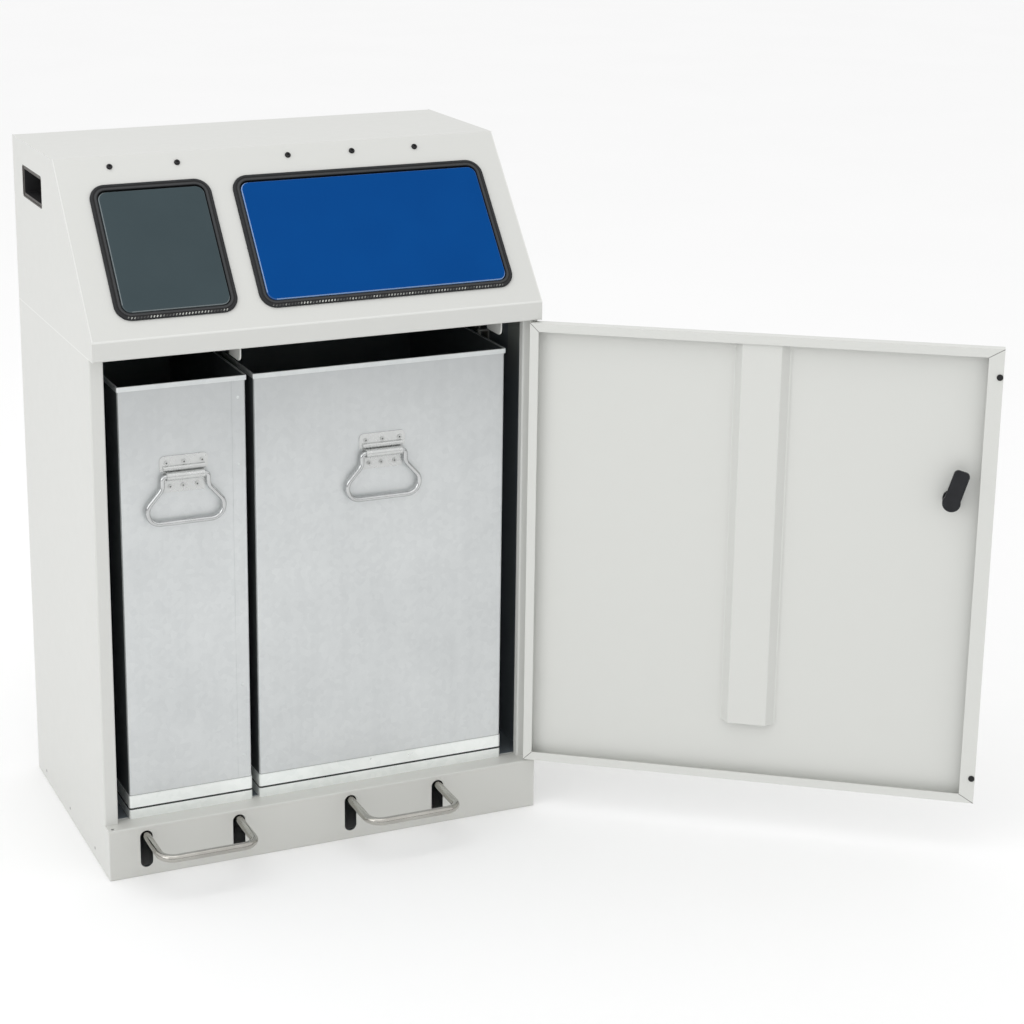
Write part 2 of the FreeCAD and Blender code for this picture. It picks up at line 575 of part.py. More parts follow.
pan = box(DOOR_X, (0, DOOR_T), DOOR_Z)
front = [e for e in pan.Edges if e.BoundBox.YMax - Y0 < 0.01]
pan = pan.makeFillet(2.0, front)
inside_x = (DOOR_X[0] + SHEET, DOOR_X[1] - SHEET)
inside_z = (DOOR_Z[0] + SHEET, DOOR_Z[1] - SHEET)
pan = pan.cut(box(inside_x, (SHEET, DOOR_T - SHEET), inside_z))
window_x = (DOOR_X[0] + 21.5, DOOR_X[1] - 13)
window_z = (DOOR_Z[0] + 13, DOOR_Z[1] - 13)
pan = pan.cut(box(window_x, (DOOR_T - 2, DOOR_T + 1), window_z))
px, py = DOOR_PIVOT
pan = pan.cut(rod(HINGE_BUSH_R, (px, py, DOOR_Z[0] - 1), (0, 0, 1), 4))
pan = pan.cut(rod(HINGE_BUSH_R, (px, py, DOOR_Z[1] - 3), (0, 0, 1), 4))
SPINDLE_R = 5.0
pan = pan.cut(rod(SPINDLE_R + 4, (LOCK_X, -1, LOCK_Z), (0, 1, 0), 5))
save("door_panel", hang(pan))
bushes = []
for z in ((DOOR_Z[0], DOOR_Z[0] + 14), (DOOR_Z[1] - 14, DOOR_Z[1])):
    bush = rod(HINGE_BUSH_R, (px, py, z[0]), (0, 0, 1), z[1] - z[0])
    bush = bush.cut(rod(HINGE_PIN_R + RUNNING, (px, py, z[0] - 1), (0, 0, 1), 20))
    bushes.append(hang(bush))
save("hinge_bushes", group(bushes))
wide, heel, narrow = STIFFENER_HALF
t2 = 0.6
plateau = SHEET + STIFFENER_DEPTH - t2
foot_v = SHEET + t2
hat = [(-wide, foot_v), (-heel, foot_v), (-narrow, plateau)]
hat += [(-u, v) for u, v in reversed(hat)]
hat = [(STIFFENER_X + u, v) for u, v in hat]
save("door_stiffener", hang(fold_z(hat, (STIFFENER_Z, DOOR_Z[1] - SHEET), 2 * t2, 1.5)))
bumpers = []
for z in (DOOR_Z[1] - 41.0, DOOR_Z[0] + 39.5):
    bumper = rod(4.5, (DOOR_X[0] + 5.0, DOOR_T, z), (0, 1, 0), 2.2)
    edge = [e for e in bumper.Edges if e.BoundBox.YMin - Y0 > DOOR_T + 2.1]
    bumpers.append(hang(bumper.makeFillet(1.0, edge)))
save("door_bumpers", group(bumpers))

# Lock: housing through the skin, knob outside, spindle, lever behind the door
house = rod(SPINDLE_R + 4, (LOCK_X, 0, LOCK_Z), (0, 1, 0), DOOR_T + 2)
collar = rod(13, (LOCK_X, SHEET, LOCK_Z), (0, 1, 0), 4)
house = fused([house, collar]).cut(rod(SPINDLE_R + RUNNING, (LOCK_X, -2, LOCK_Z), (0, 1, 0), 30))
save("lock_housing", hang(house))
LEVER_DEPTH = (22.9, 27.0)
spindle = rod(SPINDLE_R, (LOCK_X, -4, LOCK_Z), (0, 1, 0), LEVER_DEPTH[0] + 4)
screw = rod(2.5, (LOCK_X, LEVER_DEPTH[0], LOCK_Z), (0, 1, 0), LEVER_DEPTH[1] - LEVER_DEPTH[0])
save("lock_spindle", hang(fused([spindle, screw])))
knob = rod(14, (LOCK_X, -4.5, LOCK_Z), (0, 1, 0), 4.2)
knob = fused([knob, box((LOCK_X - 4, LOCK_X + 4), (-14, -4), (LOCK_Z - 12, LOCK_Z + 12))])
knob = knob.cut(rod(SPINDLE_R, (LOCK_X, -4, LOCK_Z), (0, 1, 0), 12))
save("lock_knob", hang(knob))
blade = box((LOCK_X - 11.5, LOCK_X + 11.5), LEVER_DEPTH, (LOCK_Z, LOCK_Z + 50))
tip = [e for e in blade.Edges if e.BoundBox.ZMin > LOCK_Z + 49.9 and e.BoundBox.XMax - e.BoundBox.XMin < 1]
blade = blade.makeFillet(6.5, tip)
boss = rod(13, (LOCK_X, LEVER_DEPTH[0], LOCK_Z), (0, 1, 0), LEVER_DEPTH[1] - LEVER_DEPTH[0])
lever = fused([blade, boss]).cut(rod(2.5, (LOCK_X, 20, LOCK_Z), (0, 1, 0), 20))
lever.rotate(V(X0 + LOCK_X, Y0, LOCK_Z), V(0, 1, 0), -LOCK_LEAN)
save("lock_lever", hang(lever))

# Containers: folded body, band round the foot, folded rim, handle plate with rivets, wire bail
for i, name in enumerate(NAMES):
    x = CONTAINERS[i]
    y = CONTAINER_Y
    t = CONTAINER_T
    mid = sum(x) / 2
    face_y = y[0]
    body = slab(x, y, 3.0, (PLINTH_TOP, CONTAINER_TOP - 1.2))
    inner_x = (x[0] + t, x[1] - t)
    inner_y = (y[0] + t, y[1] - t)
    body = body.cut(slab(inner_x, inner_y, 3.0 - t, (PLINTH_TOP + t, CONTAINER_TOP + 5)))
    body.translate(V(X0, Y0, 0))
    if i == 0:
        seam_z = (PLINTH_TOP + SKIRT_H, CONTAINER_TOP - RIM_H)
        seam = box((x[1] - 21, x[1] - 17.5), (face_y - 0.5, face_y + 0.5), seam_z)
        body = fused([body, seam])
    save("container_body_" + name, body)
    skirt = slab((x[0] - 1, x[1] + 1), (y[0] - 1, y[1] + 1), 4.0, (PLINTH_TOP, PLINTH_TOP + SKIRT_H))
    groove = slab((x[0] - 3, x[1] + 3), (y[0] - 3, y[1] + 3), 6.0, (PLINTH_TOP + 14.5, PLINTH_TOP + 17.0))
    groove = groove.cut(slab((x[0] - 0.4, x[1] + 0.4), (y[0] - 0.4, y[1] + 0.4), 3.4, (0, HEIGHT)))
    skirt = skirt.cut(groove).cut(slab(x, y, 3.0, (0, HEIGHT)))
    skirt.translate(V(X0, Y0, 0))
    save("container_skirt_" + name, skirt)
    rim_z = (CONTAINER_TOP - RIM_H, CONTAINER_TOP)
    rim = slab((x[0] - 1.5, x[1] + 1.5), (y[0] - 1.5, y[1] + 1.5), 2.0, rim_z)
    rim = rim.cut(slab(x, y, 3.0, (0, CONTAINER_TOP - 1.2)))
    rim = rim.cut(slab(inner_x, inner_y, 3.0 - t, (0, HEIGHT)))
    rim.translate(V(X0, Y0, 0))
    save("container_rim_" + name, rim)
    plate = [box((mid - 31, mid + 31), (face_y - 1.5, face_y), (BAIL_Z - 25.5, BAIL_Z + 7.5))]
    upper = box((mid - 36, mid + 36), (face_y - 1.5, face_y), (BAIL_Z + 6.5, BAIL_Z + 28.5))
    top_edges = [e for e in upper.Edges if e.BoundBox.ZMin > BAIL_Z + 28.4]
    plate.append(upper.makeFillet(7.0, [e for e in top_edges if e.BoundBox.XMax - e.BoundBox.XMin < 1]))
    ridge = rod(4.0, (mid - 31, face_y - 1.5, BAIL_Z + 10.1), (1, 0, 0), 62)
    plate.append(ridge.common(box((mid - 40, mid + 40), (face_y - 9, face_y), (BAIL_Z + 3.5, BAIL_Z + 18.5))))
    barrel_y = face_y - BAIL_OUT
    barrel = rod(6.0, (mid - 28, barrel_y, BAIL_Z), (1, 0, 0), 56)
    web = box((mid - 28, mid + 28), (barrel_y, face_y), (BAIL_Z + 3.6, BAIL_Z + 6.0))
    plate += [barrel, web, box((mid - 28, mid + 28), (barrel_y, face_y), (BAIL_Z - 6.0, BAIL_Z - 4.0))]
    plate = fused(plate)
    plate = plate.cut(rod(BAIL_R + RUNNING, (mid - 60, barrel_y, BAIL_Z), (1, 0, 0), 120))
    rivets = []
    for dx, dz in ((-26, 18.5), (0, 18.5), (27, 18.5), (-21, -16.5), (-2, -16.5), (19, -16.5)):
        z = BAIL_Z + dz
        hole = rod(2.0, (mid + dx, face_y - 1.5, z), (0, 1, 0), 1.5)
        head = rod(3.2, (mid + dx, face_y - 2.7, z), (0, 1, 0), 1.2)
        plate = plate.cut(hole)
        rivets.append(fused([hole, head]))
    save("handle_plate_" + name, plate)
    save("handle_rivets_" + name, group(rivets))
    route = [(-13.0, 0.0), (-34.2, 0.0), (-34.2, -18.0), (-79.8, -69.0)]
    radii = (6.0, 14.0, 18.7)
    half = []
    for j in range(1, 4):
        before = route[j - 1]
        here = route[j]
        after = route[j + 1] if j < 3 else (79.8, -69.0)
        la = math.hypot(before[0] - here[0], before[1] - here[1])
        lb = math.hypot(after[0] - here[0], after[1] - here[1])
        da = ((before[0] - here[0]) / la, (before[1] - here[1]) / la)
        db = ((after[0] - here[0]) / lb, (after[1] - here[1]) / lb)
        inner_angle = math.acos(da[0] * db[0] + da[1] * db[1])
        back_off = radii[j - 1] / math.tan(inner_angle / 2)
        mx = da[0] + db[0]
        mz = da[1] + db[1]
        ml = math.hypot(mx, mz)
        dist = radii[j - 1] / math.sin(inner_angle / 2)
        centre = (here[0] + mx / ml * dist, here[1] + mz / ml * dist)
        inward = (centre[0] - mx / ml * radii[j - 1], centre[1] - mz / ml * radii[j - 1])
        half.append(((here[0] + da[0] * back_off, here[1] + da[1] * back_off), inward))
        half[-1] += ((here[0] + db[0] * back_off, here[1] + db[1] * back_off),)
    mirrored = [tuple((-q[0], q[1]) for q in reversed(arc)) for arc in reversed(half)]
    edges = []
    here = V(X0 + mid + route[0][0], Y0 + barrel_y, BAIL_Z + route[0][1])
    first = here
    for arc in half + mirrored:
        pa, pm, pb = [V(X0 + mid + u, Y0 + barrel_y, BAIL_Z + v) for u, v in arc]
        edges += [Part.LineSegment(here, pa).toShape(), Part.Arc(pa, pm, pb).toShape()]
        here = pb
    edges.append(Part.LineSegment(here, V(X0 + mid - route[0][0], Y0 + barrel_y, BAIL_Z)).toShape())
    circle = Part.Wire(Part.makeCircle(BAIL_R, first, V(-1, 0, 0)))
    save("bail_" + name, Part.Wire(edges).makePipeShell([circle], True, False))
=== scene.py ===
import math

import bmesh
import bpy
from mathutils import Matrix, Vector


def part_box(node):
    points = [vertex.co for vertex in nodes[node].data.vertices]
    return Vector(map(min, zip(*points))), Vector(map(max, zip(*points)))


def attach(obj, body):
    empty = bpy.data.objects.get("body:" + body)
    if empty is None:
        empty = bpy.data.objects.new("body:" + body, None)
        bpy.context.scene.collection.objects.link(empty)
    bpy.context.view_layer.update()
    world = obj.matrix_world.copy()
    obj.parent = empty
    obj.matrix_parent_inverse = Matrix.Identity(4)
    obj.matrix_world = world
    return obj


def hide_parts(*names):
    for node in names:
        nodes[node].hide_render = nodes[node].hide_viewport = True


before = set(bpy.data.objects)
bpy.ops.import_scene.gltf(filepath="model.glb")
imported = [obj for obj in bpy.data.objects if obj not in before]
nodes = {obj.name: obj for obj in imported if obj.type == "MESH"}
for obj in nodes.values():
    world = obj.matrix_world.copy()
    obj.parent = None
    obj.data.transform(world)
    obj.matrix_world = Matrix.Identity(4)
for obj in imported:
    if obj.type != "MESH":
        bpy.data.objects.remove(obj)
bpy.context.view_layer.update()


# ---------------------------------------------------------------- cabinet sheet metal
# Side panels, back, floor, plinth, hood and door are folded 1.5 mm steel sheet with a pale grey-white powder
# coat. The coat has a fine orange peel. Inside, where no light reaches, the carcass is painted almost black
# as painted shade.


class Socket:
    """A node socket of one material. Arithmetic on it adds Math nodes, and node() adds any other node."""

    def __init__(self, tree, socket=None):
        self.tree = tree
        self.socket = socket

    def node(self, kind, settings=None, inputs=None, output=0):
        made = self.tree.nodes.new(kind)
        for key, value in (settings or {}).items():
            if key == "stops":
                ramp = made.color_ramp
                while len(ramp.elements) < len(value):
                    ramp.elements.new(0.5)
                for element, (place, colour) in zip(ramp.elements, value):
                    element.position = place
                    element.color = colour
            else:
                setattr(made, key, value)
        for key, value in (inputs or {}).items():
            if isinstance(value, Socket):
                self.tree.links.new(value.socket, made.inputs[key])
            else:
                made.inputs[key].default_value = value
        return Socket(self.tree, made.outputs[output])

    def math(self, operation, *values):
        return self.node("ShaderNodeMath", {"operation": operation}, dict(enumerate(values)))

    def __add__(self, other):
        return self.math("ADD", self, other)

    def __radd__(self, other):
        return self.math("ADD", other, self)

    def __sub__(self, other):
        return self.math("SUBTRACT", self, other)

    def __rsub__(self, other):
        return self.math("SUBTRACT", other, self)

    def __mul__(self, other):
        return self.math("MULTIPLY", self, other)

    def __rmul__(self, other):
        return self.math("MULTIPLY", other, self)

    def __gt__(self, other):
        return self.math("GREATER_THAN", self, other)

    def __lt__(self, other):
        return self.math("LESS_THAN", self, other)

    def __abs__(self):
        return self.math("ABSOLUTE", self)

    def larger(self, other):
        """The larger of two values, which also joins two masks."""
        return self.math("MAXIMUM", self, other)

    def smaller(self, other):
        return self.math("MINIMUM", self, other)

    def mix(self, first, second):
        """Colour that runs from first to second as this value runs from 0 to 1."""
        return self.node(
            "ShaderNodeMix", {"data_type": "RGBA"}, {"Factor": self, 6: first, 7: second}, output=2
        )

    def bump(self, strength, distance=0.0002):
        """Normals roughened by this height."""
        sizes = {"Strength": strength, "Distance": distance, "Height": self}
        return self.node("ShaderNodeBump", inputs=sizes)

    def noise(self, scale, detail=2.0, roughness=0.5, stretch=(1, 1, 1)):
        """Cloudy pattern fixed to the piece, from about 0.2 to 0.8."""
        place = self.node("ShaderNodeTexCoord", output=3)
        place = self.node("ShaderNodeMapping", inputs={"Vector": place, "Scale": stretch})
        sizes = {"Vector": place, "Scale": scale, "Detail": detail, "Roughness": roughness}
        return self.node("ShaderNodeTexNoise", inputs=sizes)

    def xyz(self):
        """The three co-ordinates of the point, in metres in the row frame."""
        place = self.node("ShaderNodeTexCoord", output=3)
        split = self.tree.nodes.new("ShaderNodeSeparateXYZ")
        self.tree.links.new(place.socket, split.inputs[0])
        return [Socket(self.tree, out) for out in split.outputs]


def finish(name, **constants):
    """New material: (material, a socket to build on, a function that links a value to the shader)."""
    material = bpy.data.materials.new(name)
    material.use_nodes = True
    tree = material.node_tree
    tree.nodes.clear()
    out = tree.nodes.new("ShaderNodeOutputMaterial")
    shader = tree.nodes.new("ShaderNodeBsdfPrincipled")
    tree.links.new(shader.outputs[0], out.inputs[0])
    for key, value in constants.items():
        shader.inputs[key.replace("_", " ")].default_value = value

    def feed(socket_name, value):
        tree.links.new(value.socket, shader.inputs[socket_name])

    return material, Socket(tree), feed


def paint(material, *names):
    """Give these CAD nodes one material."""
    for name in names:
        for spot in nodes[name].material_slots:
            spot.material = material


HEIGHT = 1.030
HALF_WIDTH = 0.340
HALF_DEPTH = 0.215
LIP_TOP = 0.806
SLOPE_BACK = 0.188
SLOPE = math.atan2(HEIGHT - LIP_TOP, SLOPE_BACK)
SEAM = 0.778
SHEET = 0.0015
SKIN = 0.0006
FLOOR_SHEET = (0.0768, 0.0776)
STILE_INSIDE = 0.0336
LIT_FROM = 0.66
LIT_RISE = 8.5
LIT_WALL = (0.30, 0.32, 0.29, 1)
EDGE_HIGHLIGHT = (0.86, 0.87, 0.85, 1)


def mottled(s, colour):
    """The coat's colour, a little uneven from place to place."""
    tone = (s.noise(4.0, 3.0) - 0.5) * 0.10 + 0.5
    wear_and_highlight = tuple(c * 0.90 for c in colour[:3]) + (1,)
    bright = tuple(c * 1.05 for c in colour[:3]) + (1,)
    return tone.mix(wear_and_highlight, bright)


def orange_peel(s, feed):
    """The coat's uneven gloss and its fine orange peel."""
    feed("Roughness", s.noise(60.0) * 0.10 + 0.33)
    feed("Normal", s.noise(850.0, 1.0).bump(0.18))


def powder_coat(name, colour, painted_shade=None):
    """Powder coat with orange peel; a shade colour adds painted shade, light and edge highlights."""
    material, s, feed = finish(name, Specular_IOR_Level=0.45)
    coat = mottled(s, colour)
    if painted_shade:
        x, y, z = s.xyz()
        behind_front = y + HALF_DEPTH
        off_middle = abs(x)
        out_of_slope = (z - LIP_TOP) * math.cos(SLOPE) - behind_front * math.sin(SLOPE)

        # inside the outer sheets: above the floor panel and behind the stiles, or under the floor panel
        within = (off_middle < HALF_WIDTH - SHEET + SKIN) * (y < HALF_DEPTH - SHEET + SKIN)
        within = within * (out_of_slope < -SHEET + SKIN) * (z < HEIGHT - SHEET + SKIN)
        above = (z > FLOOR_SHEET[1]) * (behind_front > STILE_INSIDE)
        below = (z < FLOOR_SHEET[0]) * (behind_front > SHEET - SKIN) * (z > 0.0001)
        # painted shade: the unlit inside of the carcass is coloured almost black
        inside = within * above.larger(below)
        # painted light: high on the inner face of the right side panel, near the front, the coat is painted
        # lighter towards the top
        lit = (x > HALF_WIDTH - 0.004) * (y < -0.10) * ((z - LIT_FROM) * LIT_RISE)
        unlit = lit.smaller(1.0).larger(0.0).mix(painted_shade, LIT_WALL)

        # painted highlight on sheet edges and folds: the cheek edges, the slope-to-lip fold and the hood seam
        cheek_edge = (off_middle > HALF_WIDTH - SHEET) * (out_of_slope > -0.0003) * (z > LIP_TOP)
        fold = (z > LIP_TOP - 0.0016) * (z < LIP_TOP + 0.0012) * (behind_front < 0.002)
        seam = (abs(z - SEAM) < 0.0009) * (off_middle > HALF_WIDTH - 0.0002)
        painted_highlight = cheek_edge.larger(fold).larger(seam)
        coat = inside.mix((painted_highlight * 0.35).mix(coat, EDGE_HIGHLIGHT), unlit)
    feed("Base Color", coat)
    orange_peel(s, feed)
    return material


# One powder coat in three tones: door and fittings are painted lighter, the plinth darker than the carcass,
# as painted light and shade.
WHITE = (0.628, 0.633, 0.610, 1)
DOOR_LIT_WHITE = (0.657, 0.664, 0.637, 1)
PLINTH_SHADED_WHITE = (0.575, 0.578, 0.550, 1)
INSIDE_SHADE = (0.150, 0.172, 0.190, 1)
carcass = powder_coat("carcass_coat", WHITE, INSIDE_SHADE)
paint(carcass, "side_panel_left", "side_panel_right", "back_panel", "floor_panel", "base_frame")
paint(carcass, "hood_shell", "hood_cheek_left", "hood_cheek_right")
paint(powder_coat("plinth_coat", PLINTH_SHADED_WHITE, INSIDE_SHADE), "plinth_front")
paint(powder_coat("fittings_coat", DOOR_LIT_WHITE), "door_stiffener", "front_rail", "container_stops")

# the dark ends of the base frame's rivets, seen low on the side panels
rivet_grey, s, feed = finish("rivet_grey", Metallic=0.5)
feed("Base Color", s.noise(400.0).mix((0.10, 0.10, 0.10, 1), (0.22, 0.22, 0.21, 1)))
feed("Roughness", s.noise(300.0) * 0.2 + 0.3)
paint(rivet_grey, "base_rivets")


# ---------------------------------------------------------------- door
# A sheet-steel pan with its edges turned back twice, in the cabinet's powder coat. The inner flanges meet in
# mitred corners that are not welded shut, so each leaves a dark hairline.
DOOR_OPEN = math.radians(144.4)
PIVOT = (0.3325, -0.2085)
DOOR_HALF = 0.3385
DOOR_BOTTOM = 0.081
DOOR_TOP = 0.775
DOOR_T = 0.0185
FLANGE = 0.013
LOCK_FLANGE = 0.0215
HAIRLINE = (0.20, 0.20, 0.19, 1)
door_coat, s, feed = finish("door_coat", Specular_IOR_Level=0.45)
x, y, z = s.xyz()
away_x = x - PIVOT[0]
away_y = y - PIVOT[1]
across = away_x * math.cos(DOOR_OPEN) + away_y * math.sin(DOOR_OPEN) + PIVOT[0]
deep = away_y * math.cos(DOOR_OPEN) - away_x * math.sin(DOOR_OPEN) + PIVOT[1]
to_end = (z - DOOR_BOTTOM).smaller(DOOR_TOP - z) * (1 / FLANGE)
mitre_left = abs((across + DOOR_HALF) * (1 / LOCK_FLANGE) - to_end) < 0.050
mitre_right = abs((DOOR_HALF - across) * (1 / FLANGE) - to_end) < 0.055
mitre = mitre_left.larger(mitre_right) * (to_end < 1.0) * (deep > -HALF_DEPTH + DOOR_T - 0.0001)
feed("Base Color", mitre.mix(mottled(s, DOOR_LIT_WHITE), HAIRLINE))
orange_peel(s, feed)
paint(door_coat, "door_panel")


# ---------------------------------------------------------------- grip shells and lock
# Two moulded recesses pressed into the hood cheeks, so that four fingers lift the cabinet. Each has a scuffed
# grey-brown bezel. The lock's housing, knob and lever are black plastic too, with a fine leather grain.
plastic, s, feed = finish("black_plastic", Specular_IOR_Level=0.3)
feed("Base Color", s.noise(90.0, 3.0).mix((0.006, 0.0065, 0.008, 1), (0.015, 0.016, 0.019, 1)))
feed("Roughness", s.noise(300.0) * 0.2 + 0.38)
feed("Normal", s.noise(1400.0).bump(0.25))
paint(plastic, "lock_housing", "lock_knob", "lock_lever", "lock_spindle")

grip_plastic, s, feed = finish("grip_plastic", Specular_IOR_Level=0.3)
x, y, z = s.xyz()
bezel = abs(x) > HALF_WIDTH - SHEET - 0.0004
scuffed = s.noise(60.0, 4.0).mix((0.060, 0.057, 0.053, 1), (0.135, 0.126, 0.118, 1))
tub = s.noise(90.0, 3.0).mix((0.010, 0.010, 0.011, 1), (0.026, 0.026, 0.027, 1))
feed("Base Color", bezel.mix(tub, scuffed))
feed("Roughness", s.noise(300.0) * 0.2 + 0.42)
feed("Normal", s.noise(1400.0).bump(0.25))
paint(grip_plastic, "grip_shell_left", "grip_shell_right")


# ---------------------------------------------------------------- lid seals
# Edge-trim rubber pushed over the cut sheet: outside a rounded band with a groove and an inner bead, under
# the lid a soft bulb. Its steel clip core shows as a row of short pale teeth along the outer lower edge.
SEAL_BOTTOM = 0.0285
SEAL_TOP = 0.2445
SEAL_BAND = 0.0035
CORNER = 0.024
SEAL_SIDES = {"small": (0.041, 0.220), "large": (0.2525, 0.6445)}


def slope_places(y, z):
    """How far a point lies up the slope of the hood, and out of it."""
    along = (y + HALF_DEPTH) * math.cos(SLOPE) + (z - LIP_TOP) * math.sin(SLOPE)
    out = (z - LIP_TOP) * math.cos(SLOPE) - (y + HALF_DEPTH) * math.sin(SLOPE)
    return along, out


ROUND_OVER = ((0.0, 0.1), (0.16, 0.8), (0.34, 1.0), (0.44, 0.1))
INNER_BEAD = ((0.54, 0.1), (0.66, 0.9), (0.84, 0.9), (1.0, 0.1))
SEAL_GROOVE = (0.0040, 0.0056)
SEAL_BEAD = (0.0062, 0.0090)
for side, (left, right) in SEAL_SIDES.items():
    rubber, s, feed = finish("seal_rubber_" + side, Specular_IOR_Level=0.30)
    x, y, z = s.xyz()
    along, out = slope_places(y, z)
    across = abs(x - ((left + right) / 2 - HALF_WIDTH)) - ((right - left) / 2 - CORNER)
    up = abs(along - (SEAL_BOTTOM + SEAL_TOP) / 2) - ((SEAL_TOP - SEAL_BOTTOM) / 2 - CORNER)
    past_x = across.larger(0.0)
    past_up = up.larger(0.0)
    round_part = s.math("SQRT", past_x * past_x + past_up * past_up)
    inset = CORNER - round_part - across.larger(up).smaller(0.0)

    # from the outer outline inwards: round-over, groove and bead
    stops = [(place, (h, h, h, 1)) for place, h in ROUND_OVER + INNER_BEAD]
    section = s.node("ShaderNodeValToRGB", {"stops": stops}, {"Fac": inset * 100.0})
    # painted highlight along the raised bead and painted shade in the groove
    bead = (inset > SEAL_BEAD[0]) * (inset < SEAL_BEAD[1])
    groove = (inset > SEAL_GROOVE[0]) * (inset < SEAL_GROOVE[1])
    black = s.noise(40.0, 4.0).mix((0.008, 0.009, 0.010, 1), (0.018, 0.019, 0.021, 1))
    wear_and_highlight = (bead * 0.7).mix(black, (0.045, 0.047, 0.049, 1))
    feed("Base Color", groove.mix(wear_and_highlight, (0.003, 0.003, 0.003, 1)))
    feed("Roughness", s.noise(200.0) * 0.25 + 0.42)
    feed("Normal", (section + s.noise(700.0) * 0.08).bump(0.7, 0.0012))
    paint(rubber, "lid_seal_" + side)

bumper_rubber, s, feed = finish("bumper_rubber", Specular_IOR_Level=0.3)
feed("Base Color", s.noise(400.0).mix((0.008, 0.008, 0.009, 1), (0.018, 0.018, 0.019, 1)))
feed("Roughness", s.noise(200.0) * 0.25 + 0.42)
paint(bumper_rubber, "door_bumpers")

clip, s, feed = finish("clip_steel", Metallic=0.7)
worn_patch = (s.noise(55.0, 3.0) - 0.44) * 5.0
feed("Base Color", worn_patch.larger(0.0).smaller(1.0).mix((0.07, 0.07, 0.068, 1), (0.55, 0.56, 0.53, 1)))
feed("Roughness", s.noise(300.0) * 0.3 + 0.25)

ON_SLOPE = Matrix.Translation((-HALF_WIDTH, -HALF_DEPTH, LIP_TOP)) @ Matrix.Rotation(SLOPE, 4, "X")


def settle(name, bm, material, body, replaced=()):
    """Turn a finished bmesh into a piece that rides on a body."""
    bmesh.ops.recalc_face_normals(bm, faces=bm.faces)
    mesh = bpy.data.meshes.new(name)
    bm.to_mesh(mesh)
    bm.free()
    piece = bpy.data.objects.new(name, mesh)
    bpy.context.scene.collection.objects.link(piece)
    mesh.materials.append(material)
    if replaced:
        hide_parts(*replaced)
    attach(piece, body)
    return piece


TOOTH = (0.0015, 0.0034, 0.0014)
TOOTH_PITCH = 0.0046
TOOTH_INSET = 0.0026
for side, (left, right) in SEAL_SIDES.items():
    bm = bmesh.new()
    count = int((right - left - CORNER * 1.2) / TOOTH_PITCH)
    for i in range(count):
        x = left + CORNER * 0.6 + (i + 0.5) * TOOTH_PITCH
        tooth = bmesh.ops.create_cube(bm, size=1.0)["verts"]
        bmesh.ops.scale(bm, vec=TOOTH, verts=tooth)
        lean = Matrix.Rotation(math.radians(-32), 4, "Z")
        lift = 0.0
        if x < left + CORNER:
            lift = CORNER - math.sqrt(CORNER**2 - (left + CORNER - x) ** 2)
        if x > right - CORNER:
            lift = CORNER - math.sqrt(CORNER**2 - (x - right + CORNER) ** 2)
        spot = Matrix.Translation((x, SEAL_BOTTOM + lift + TOOTH_INSET, SEAL_BAND - 0.0005))
        bmesh.ops.transform(bm, matrix=ON_SLOPE @ spot @ lean, verts=tooth)
    settle("seal_clip_teeth_" + side, bm, clip, "cabinet")


# ---------------------------------------------------------------- lids
# Two pressed steel trays with rolled edges, one grey and one blue, in a smoother paint than the cabinet. They
# swing on goosenecks from a shaft under the slope, and rest on the bulb of the seal.
LID_TOP = 0.0045
EDGE_ROLL = 0.0026
LID_BOTTOM_S = 0.0397
LIT_EDGE = 0.012


def lid_paint(name, colour, pale, painted_highlight, node):
    """Smooth lid paint; a clear coat and a painted highlight along the rolled edge, strongest left and low.
    """
    material, s, feed = finish(name, Specular_IOR_Level=0.03, Coat_Roughness=0.10, Coat_IOR=1.7)
    low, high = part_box(node)
    x, y, z = s.xyz()
    along, out = slope_places(y, z)
    # painted highlight on the rolled edge, strongest along the left and the lower edge
    rolled = (out > LID_TOP - EDGE_ROLL) * (out < LID_TOP - 0.00025)
    left_edge = (x < low.x + LIT_EDGE) * (along > 0.052)
    low_edge = (along < LID_BOTTOM_S + LIT_EDGE) * (x > low.x + LIT_EDGE)
    rolled = rolled * (left_edge.larger(low_edge) * 0.8 + 0.2)
    body = ((s.noise(9.0, 4.0) - 0.5) * 1.4 + 0.5).mix(colour, pale)
    feed("Base Color", (rolled * 0.75).mix(body, painted_highlight))
    feed("Coat Weight", rolled)
    feed("Roughness", s.noise(120.0) * 0.12 + 0.30)
    feed("Normal", s.noise(420.0, 2.0).bump(0.10))
    return material


# each lid: its colour, a paler random tone, and the painted highlight colour of its rolled edge
GREY = ((0.043, 0.061, 0.068, 1), (0.053, 0.074, 0.082, 1), (0.16, 0.19, 0.20, 1))
BLUE = ((0.0010, 0.052, 0.222, 1), (0.0014, 0.061, 0.250, 1), (0.22, 0.36, 0.62, 1))
paint(lid_paint("lid_grey", *GREY, "lid_panel_small"), "lid_panel_small")
paint(lid_paint("lid_blue", *BLUE, "lid_panel_large"), "lid_panel_large")


